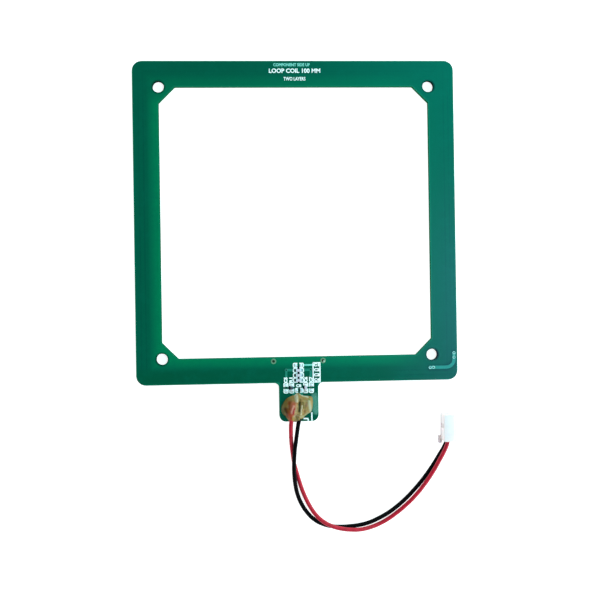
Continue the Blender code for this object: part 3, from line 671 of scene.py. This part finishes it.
def crowned_pad(centre, size, height, rise=None, steps=10):
    """A pillow of solder on a pad; rise = (dx, dy, extra) heaps it up towards one side."""
    shape = bmesh.new()
    half_x, half_y = size[0] / 2, size[1] / 2
    rows = []
    for j in range(steps + 1):
        row = []
        for i in range(steps + 1):
            u, v = 2 * i / steps - 1, 2 * j / steps - 1
            squash = math.sqrt(1 - 0.25 * u * u * v * v)
            edge = (1 - abs(u) ** 3.5) * (1 - abs(v) ** 3.5)
            z = height * edge ** 0.5
            if rise:
                towards = 0.5 + 0.5 * (u * rise[0] + v * rise[1])
                z += rise[2] * towards ** 2.5 * edge ** 0.4
            x, y = centre[0] + u * half_x * squash, centre[1] + v * half_y * squash
            row.append(shape.verts.new((x, y, COPPER_TOP + z)))
        rows.append(row)
    for j in range(steps):
        for i in range(steps):
            shape.faces.new((rows[j][i], rows[j][i + 1], rows[j + 1][i + 1], rows[j + 1][i]))
    rim = rows[0] + [row[-1] for row in rows[1:]] + rows[-1][-2::-1] + [row[0] for row in rows[-2:0:-1]]
    base = [shape.verts.new((vert.co.x, vert.co.y, SOLDER_FOOT)) for vert in rim]
    for k in range(len(rim)):
        n = (k + 1) % len(rim)
        shape.faces.new((rim[k], base[k], base[n], rim[n]))
    shape.faces.new(base)
    return to_frame(shape)


# The chips' places, in mm
COLUMN_ROWS = (-44.62, -46.16, -47.7, -49.24)
INNER_X, OUTER_X = 2.18, 3.95
LOWER_Y = -51.58
CENTRE_PLACE = (0.1, -52.38)


def footprints():
    """Each two-pad place: name, centre, whether it is upright, and whether a chip sits on it."""
    places = [(f"row_{number}", (0, y), False, number > 1) for number, y in enumerate(COLUMN_ROWS, start=1)]
    places += [
        ("outer_left", (-OUTER_X, LOWER_Y), True, False),
        ("inner_left", (-INNER_X, LOWER_Y), True, True),
        ("inner_right", (INNER_X, LOWER_Y), True, True),
        ("outer_right", (OUTER_X, LOWER_Y), True, False),
        ("centre", CENTRE_PLACE, False, False),
    ]
    return places


def build_solder(bright, dull, dark):
    """Solder on every pad, heaped against a chip's ends; under a chip in the column the left pad's solder
    is painted shade and the right pad's a painted blue-grey reflection.
    """
    for name, (x, y), upright, loaded in footprints():
        for side, letter in ((-1, "a"), (1, "b")):
            solder = bright
            # painted shade on the left pad, a painted reflection on the right one
            if loaded and not upright:
                solder = dark if side < 0 else dull
            if upright:
                centre, size = (x, y + side * PAD_REACH), (PAD_WIDTH, PAD_SIZE)
                rise = (0, -side, SOLDER_RISE)
            else:
                centre, size = (x + side * PAD_REACH, y), (PAD_SIZE, PAD_WIDTH)
                rise = (-side, 0, SOLDER_RISE)
            shape = crowned_pad(centre, size, SOLDER_CROWN, rise if loaded else None)
            add_piece(f"solder_{name}_{letter}", mesh_from(shape, "solder", sharp=60), solder)


def strip(points, width):
    """A closed thin ribbon of ink along a polyline, mitred at its corners."""
    points = [Vector(point) for point in points]
    left, right = [], []
    for index, point in enumerate(points):
        before = (point - points[index - 1]).normalized() if index else None
        after = (points[index + 1] - point).normalized() if index + 1 < len(points) else None
        heading = ((before or after) + (after or before)).normalized()
        normal = Vector((-heading.y, heading.x))
        scale = 1 / max(0.5, normal.dot(Vector((-(after or before).y, (after or before).x))))
        left.append(point + normal * width / 2 * scale)
        right.append(point - normal * width / 2 * scale)
    return left + right[::-1]


def raised(outlines, bottom, top):
    """Flat closed outlines raised from bottom to top."""
    shape = bmesh.new()
    for outline in outlines:
        low = [shape.verts.new((point[0], point[1], bottom)) for point in outline]
        high = [shape.verts.new((point[0], point[1], top)) for point in outline]
        shape.faces.new(low[::-1])
        shape.faces.new(high)
        for k in range(len(low)):
            n = (k + 1) % len(low)
            shape.faces.new((low[k], low[n], high[n], high[k]))
    return to_frame(shape)


# Legend brackets, in mm
BRACKET_REACH = 1.56
CENTRE_REACH = 1.14      # the middle place has narrower brackets, between its neighbours'
BRACKET_HALF_WIDTH = 0.62
BRACKET_LINE = 0.3
BRACKET_MOUTH = 0.3
BRACKET_CORNER = 0.3
BRACKET_STEPS = 4        # in each rounded corner


def bracket(centre, side, upright, reach):
    """A legend bracket round one pad, open towards the other, with rounded corners."""
    half, corner = BRACKET_HALF_WIDTH, BRACKET_CORNER
    path = [(BRACKET_MOUTH, half)]
    for sign in (1, -1):
        for step in range(BRACKET_STEPS + 1):
            angle = math.radians((90 if sign > 0 else 0) - 90 * step / BRACKET_STEPS)
            along = reach - corner + corner * math.cos(angle)
            across = sign * (half - corner) + corner * math.sin(angle)
            path.append((along, across))
    path.append((BRACKET_MOUTH, -half))
    placed = []
    for along, across in path:
        along *= side
        dx, dy = (across, along) if upright else (along, across)
        placed.append((centre[0] + dx, centre[1] + dy))
    return placed


def build_brackets(ink):
    """A pair of legend brackets round every chip's place."""
    for name, centre, upright, _ in footprints():
        reach = CENTRE_REACH if name == "centre" else BRACKET_REACH
        outlines = [strip(bracket(centre, side, upright, reach), BRACKET_LINE) for side in (-1, 1)]
        shape = raised(outlines, INK_BOTTOM, INK_TOP)
        add_piece(f"legend_bracket_{name}", mesh_from(shape, "bracket"), ink)


CAPITAL_SHARE = 0.72     # a capital's height, as a share of the font's size
DESIGNATOR_BOLD = 0.075


def legend(name, text, centre, size, ink, bold, turn=0.0):
    """A line of legend text, sized in mm by its width and its capitals' height; bold widens its strokes."""
    width, height = size
    font = bpy.data.curves.new(name, "FONT")
    font.body = text
    font.align_x, font.align_y = "CENTER", "CENTER"
    font.size = (height - 2 * bold) / CAPITAL_SHARE * MM
    font.offset = bold * MM
    font.extrude = (INK_TOP - INK_BOTTOM) / 2 * MM
    font.resolution_u = 3
    piece = add_piece(name, font, ink)
    piece.location = at(centre[0], centre[1], (INK_BOTTOM + INK_TOP) / 2)
    bpy.context.view_layer.update()
    piece.scale.x = width * MM / piece.dimensions.x
    piece.rotation_euler.z = math.radians(turn)


def build_legend(ink, thin_ink):
    """The board's wording, the chips' designators and the ruled lines."""
    legend("legend_side", "COMPONENT SIDE UP", (-0.75, 48.72), (11.4, 1.0), thin_ink, 0.05)
    legend("legend_title", "LOOP COIL 100 MM", (0.2, 46.85), (16.0, 1.42), ink, 0.05)
    legend("legend_note", "TWO LAYERS", (0.15, 44.35), (6.8, 1.14), ink, 0.035)
    for number, y in enumerate(COLUMN_ROWS, start=1):
        legend(f"legend_c{number}", f"C{number}", (5.7, y), (1.75, 1.0), ink, DESIGNATOR_BOLD)
    for label, x in (("C5", -3.95), ("R1", -2.3), ("C6", 2.3), ("C7", 3.87)):
        legend("legend_" + label.lower(), label, (x, -49.1), (1.7, 1.15), ink, DESIGNATOR_BOLD, turn=90)
    legend("legend_c8", "C8", (0.0, -50.98), (1.65, 1.0), ink, DESIGNATOR_BOLD)
    left, right, rear, front = 4.58, 6.72, -43.93, -49.9
    frame_line = [(left, rear), (right, rear), (right, front), (left, front), (left, rear)]
    for name, points, width, material in (
            ("legend_bar", [(3.97, -59.3), (3.97, TAB_END_Y)], 0.42, ink),
            ("legend_frame", frame_line, 0.34, ink),
            ("legend_corner", [(1.33, -61.2), (2.7, -61.2), (2.8, -61.4), (2.8, TAB_END_Y)], 0.42, ink),
            ("legend_leader", [(1.7, -44.55), (4.4, -44.55)], 0.5, thin_ink)):
        shape = raised([strip(points, width)], INK_BOTTOM, INK_TOP)
        add_piece(name, mesh_from(shape, name), material)


# Glue: its outline on the board, anticlockwise from the right, in mm
GLUE_OUTLINE = (
    (4.3, -56.9), (4.35, -55.6), (4.1, -54.5), (3.0, -54.2), (1.8, -54.1), (0.8, -53.8), (0.1, -53.3),
    (-0.7, -53.3), (-1.4, -53.8), (-2.6, -54.2), (-3.9, -54.9), (-5.0, -56.3), (-5.6, -57.8), (-5.3, -59.3),
    (-4.3, -60.4), (-3.5, -61.4), (-2.9, -62.1), (-1.6, -62.15), (-0.2, -62.15), (0.7, -61.5), (1.4, -60.9),
    (2.5, -59.9), (3.7, -59.2), (4.1, -58.2),
)
GLUE_CENTRE = (-0.5, -57.6)
GLUE_HEIGHT = 2.1
GLUE_EDGE = 0.03         # its thickness at the outline
GLUE_RINGS = 30
# Ridges and grooves in its surface: start, end, half width and height, in mm
GLUE_FOLDS = (
    ((-1.5, -56.2), (-2.45, -61.4), 0.75, 0.5),
    ((0.9, -56.4), (-0.2, -61.6), 0.6, 0.45),
    ((0.15, -55.2), (0.0, -58.8), 0.4, -0.75),
    ((1.6, -56.0), (1.3, -59.2), 0.5, -0.25),
    ((3.3, -55.2), (3.5, -58.0), 0.8, 0.45),
    ((-0.5, -53.9), (-0.8, -55.8), 0.55, 0.75),
    ((1.6, -54.6), (3.2, -54.9), 0.5, 0.5),
    ((-4.2, -57.0), (-3.4, -59.6), 0.8, 0.3),
    ((-3.0, -55.2), (-3.0, -57.4), 0.5, -0.3),
    ((-1.2, -60.0), (-1.2, -62.0), 0.4, -0.5),
)


def smooth_loop(points, steps):
    """Points on a closed Catmull-Rom curve through the given ones."""
    found = []
    count = len(points)
    for index in range(count):
        a, b, c, d = (Vector(points[(index + k) % count]) for k in (-1, 0, 1, 2))
        for step in range(steps):
            t = step / steps
            bend = 2 * a - 5 * b + 4 * c - d + t * (3 * (b - c) + d - a)
            found.append(b + 0.5 * t * (c - a + t * bend))
    return found


def fold_height(x, y):
    """How far the folds raise or sink the glue's surface here."""
    total = 0.0
    here = Vector((x, y))
    for start, end, width, height in GLUE_FOLDS:
        start, end = Vector(start), Vector(end)
        along = max(0.0, min(1.0, (here - start).dot(end - start) / (end - start).length_squared))
        away = (here - start.lerp(end, along)).length
        total += height * math.exp(-(away / width) ** 2)
    return total


def build_glue(material):
    """One closed blob: rings of points from the middle out to the outline, domed and folded."""
    outline = smooth_loop(GLUE_OUTLINE, 4)
    centre = Vector(GLUE_CENTRE)
    shape = bmesh.new()

    def top_point(share, edge):
        x, y = centre.lerp(edge, share)
        dome = (1 - share ** 3.0) ** 0.6
        lumps = 0.3 * noise.noise(Vector((x * 0.8, y * 0.8, 3.0)))
        lumps += 0.1 * noise.noise(Vector((x * 2, y * 2, 1.0)))
        return Vector((x, y, GLUE_FOOT + GLUE_EDGE + dome * (GLUE_HEIGHT + lumps + fold_height(x, y))))

    middle = shape.verts.new(top_point(0.0, centre))
    loops = []
    for ring in range(1, GLUE_RINGS + 1):
        share = (ring / GLUE_RINGS) ** 0.8
        loops.append([shape.verts.new(top_point(share, edge)) for edge in outline])
    base = [shape.verts.new((vert.co.x, vert.co.y, GLUE_FOOT)) for vert in loops[-1]]
    around = len(outline)
    for k in range(around):
        n = (k + 1) % around
        shape.faces.new((middle, loops[0][k], loops[0][n]))
        for inner, outer in zip(loops, loops[1:]):
            shape.faces.new((inner[k], outer[k], outer[n], inner[n]))
        shape.faces.new((loops[-1][k], base[k], base[n], loops[-1][n]))
    shape.faces.new(base[::-1])
    piece = add_piece("glue", mesh_from(to_frame(shape), "glue", sharp=80), material)
    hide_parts("glue_blob")


# Thin films on the board, of glue and of painted shadow: their tops and outlines, in mm
SMEAR_TOP = BOARD_TOP + 0.05
SHADOW_FILM_TOP = COPPER_TOP + 0.03
GLUE_SMEAR = (
    (3.9, -54.0), (4.6, -53.4), (5.4, -53.2), (5.9, -54.0), (6.0, -56.5), (5.95, -59.0), (5.6, -60.0),
    (4.9, -59.9), (4.3, -59.2), (4.0, -58.0), (4.1, -56.0),
)
# dark films where the chips' shadows and the gaps between them fall: painted shadow
SHADOW_SPOTS = {
    "shadow_column": ((-0.27, -45.2), (0.3, -45.2), (0.36, -46.9), (0.3, -48.5), (0.33, -49.9),
                    (0.0, -50.15), (-0.3, -49.8), (-0.25, -48.4), (-0.3, -46.9)),
    "shadow_row_1": ((0.22, -44.35), (0.42, -44.4), (0.45, -44.95), (0.25, -45.0)),
    "shadow_left": ((-3.1, -51.1), (-2.65, -51.0), (-2.6, -51.6), (-2.62, -52.2), (-2.95, -52.1),
                  (-3.15, -51.6)),
    "shadow_right": ((1.45, -51.0), (1.74, -50.9), (1.76, -51.6), (1.72, -52.1), (1.5, -52.0), (1.4, -51.5)),
    "shadow_centre": ((0.05, -51.95), (0.35, -51.85), (0.5, -52.3), (0.35, -52.8), (0.15, -52.85),
                    (0.22, -52.3)),
}


def build_films(smear, shadow_film):
    """Glue smeared beside the blob, and dark films between and beside the chips as painted shadow."""
    films = [("glue_smear", GLUE_SMEAR, SMEAR_TOP, smear, "hot_glue")]
    films += [(name, outline, SHADOW_FILM_TOP, shadow_film, "resistor") for name, outline in SHADOW_SPOTS.items()]
    for name, outline, top, material, slot in films:
        shape = raised([smooth_loop(outline, 4)], FILM_FOOT, top)
        add_piece(name, mesh_from(shape, name), material)


def turned_disc(centre, profile, core_radius, around=24):
    """A disc turned from (radius, height) pairs, middle first, whose core has the second material."""
    shape = bmesh.new()
    x, y = centre[0], centre[1]
    turns = [2 * math.pi * k / around for k in range(around)]
    loops = [[shape.verts.new((x + radius * math.cos(turn), y + radius * math.sin(turn), height))
              for turn in turns] for radius, height in profile]
    for (inner, outer), (radius, _) in zip(zip(loops, loops[1:]), profile[1:]):
        for k in range(around):
            n = (k + 1) % around
            face = shape.faces.new((inner[k], outer[k], outer[n], inner[n]))
            face.material_index = int(radius <= core_radius)
    face = shape.faces.new(loops[0])
    face.material_index = 1
    shape.faces.new(loops[-1][::-1])
    return to_frame(shape)


TENT_CORE = 0.22         # radii of the middles painted dark as shade in the hollows, in mm
EYELET_CORE = 0.42


def build_tents(plain_ring, highlight_ring, dark):
    """Solder mask sunk into the small vias, with painted shade in the middle, and a painted highlight on
    the crossover's rings.
    """
    top = COPPER_TOP
    profile = ((0.1, top + 0.004), (TENT_CORE, top + 0.006), (0.3, top + 0.03), (0.4, top + 0.028),
               (0.47, top + 0.004), (0.48, top - 0.03))
    for node in sorted(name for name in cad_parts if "_via_" in name):
        low, high = board_box(node)
        # the crossover's vias get a pale ring, a painted highlight
        ring = highlight_ring if node.startswith("crossover_") else plain_ring
        disc = turned_disc((low + high) / 2, profile, TENT_CORE)
        piece = add_piece("tent_" + node, mesh_from(disc, "tent", sharp=60), ring)
        piece.data.materials.append(dark)


def build_eyelet_fills(ring, core, speck_material):
    """Solder wicked into the two test eyelets, with painted shade in their middles, and a bright speck
    beside the right-hand one.
    """
    top = COPPER_TOP
    profile = ((0.15, top + 0.005), (EYELET_CORE, top + 0.008), (0.55, top + 0.03), (0.7, top + 0.045),
               (0.82, top + 0.03), (0.86, top - 0.03))
    for node in ("test_eyelet_left", "test_eyelet_right"):
        low, high = board_box(node)
        disc = turned_disc((low + high) / 2, profile, EYELET_CORE)
        piece = add_piece(node + "_fill", mesh_from(disc, "fill", sharp=60), ring)
        # the middle's dark colour is painted shade of the bore
        piece.data.materials.append(core)
    low, high = board_box("test_eyelet_right")
    speck = crowned_pad((high.x - 0.5, low.y + 0.6), (0.5, 0.55), 0.08)
    add_piece("solder_speck", mesh_from(speck, "speck", sharp=60), speck_material)


PLUG_EDGE = 0.1          # width of the softened edges of the plug, in mm


def build_plug(material):
    """The housing with its moulded edges softened."""
    shape = bmesh.new()
    shape.from_mesh(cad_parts["connector_housing"].data)
    bmesh.ops.remove_doubles(shape, verts=shape.verts[:], dist=1e-7)
    bmesh.ops.dissolve_limit(shape, angle_limit=math.radians(2), verts=shape.verts[:], edges=shape.edges[:])
    sharp = [edge for edge in shape.edges if len(edge.link_faces) == 2 and edge.calc_face_angle() > 0.6]
    bmesh.ops.bevel(shape, geom=sharp, offset=PLUG_EDGE * MM, segments=2, affect="EDGES", profile=0.5,
                    clamp_overlap=True)
    piece = add_piece("plug_housing", mesh_from(shape, "plug_housing", sharp=50), material)
    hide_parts("connector_housing")
    return piece


def paint(names, material):
    """Gives CAD nodes one material."""
    for name in names:
        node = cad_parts[name]
        node.data.materials.clear()
        node.data.materials.append(material)


def build_lead(plug, red, black):
    """The two wires, as smooth curves in place of the CAD's own."""
    red_lead = lead("red_lead", RED_ROUTE, red)
    black_lead = lead("black_lead", BLACK_ROUTE, black)
    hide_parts("red_wire")
    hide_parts("black_wire")


def paint_nodes(masked_copper, tin):
    """Looks for the CAD's own nodes."""
    nodes = list(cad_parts)
    far_side_copper = ("antenna_loop", "loop_feed_trace")
    paint(["circuit_board"], board_material())
    paint(far_side_copper, masked_copper)
    paint([name for name in nodes if "net_" in name or "_via_" in name], masked_copper)
    # the crossover is painted lighter than the other masked copper, a painted sheen
    paint(["crossover_trace"],
          masked_copper_material("masked_crossover", srgb(28, 122, 104), srgb(42, 136, 120)))
    paint([name for name in nodes if "terminal" in name or "joint" in name], tin)
    paint([name for name in nodes if "eyelet" in name],
          flat_material("eyelet_tin", srgb(66, 112, 84), 0.45))
    paint([name for name in nodes if "strands" in name],
          tin_material("tinned_strands", (0.80, 0.78, 0.74, 1), 0.25))


def build_object():
    red = wire_material("red_pvc", srgb(184, 10, 44), srgb(156, 4, 30), 0.3)
    black = wire_material("black_pvc", srgb(4, 3, 6), srgb(1, 1, 2), 0.05)
    build_lead(build_plug(nylon_material()), red, black)

    masked_copper = masked_copper_material("masked_copper", srgb(14, 108, 88), srgb(30, 130, 106))
    tin = tin_material("bright_tin", (0.86, 0.87, 0.88, 1), 0.2)
    paint_nodes(masked_copper, tin)
    # the drilled walls' near-black colours are painted shade inside the holes
    build_cut_walls(cut_wall_material("routed_edge", srgb(16, 80, 52), srgb(34, 100, 64)),
                    cut_wall_material("drilled_wall_shade", srgb(1, 12, 5), srgb(4, 24, 10)))
    build_chips(chip_material("chip_ceramic", srgb(178, 172, 186), srgb(212, 208, 220), 0.35),
                chip_material("chip_glaze", srgb(62, 62, 70), srgb(84, 84, 92), 0.25), tin)
    build_solder(tin_material("solder", (0.93, 0.94, 0.95, 1), 0.28),
                 tin_material("solder_painted_reflection", srgb(136, 162, 172), 0.3),
                 flat_material("solder_painted_shade", srgb(18, 26, 30), 0.3))
    ink = ink_material("legend_ink", srgb(214, 240, 238), srgb(254, 255, 255))
    build_brackets(ink)
    build_legend(ink, ink_material("legend_ink_thin", srgb(84, 182, 166), srgb(128, 214, 200)))
    build_tents(masked_copper,
                masked_copper_material("tent_ring_highlight", srgb(104, 184, 172), srgb(180, 230, 222)),
                flat_material("via_core_shade", srgb(0, 30, 24), 0.5))
    build_eyelet_fills(flat_material("eyelet_ring", srgb(96, 142, 112), 0.4),
                       flat_material("eyelet_bore_shade", srgb(26, 46, 26), 0.6),
                       flat_material("eyelet_speck", srgb(176, 206, 186), 0.4))
    build_glue(glue_material())
    build_films(smear_material(), flat_material("shadow_film", srgb(6, 16, 26), 0.35))


build_camera()
build_floor()
build_world()
build_lights()
bpy.context.scene.view_settings.view_transform = "Standard"
build_object()

bpy.context.view_layer.update()
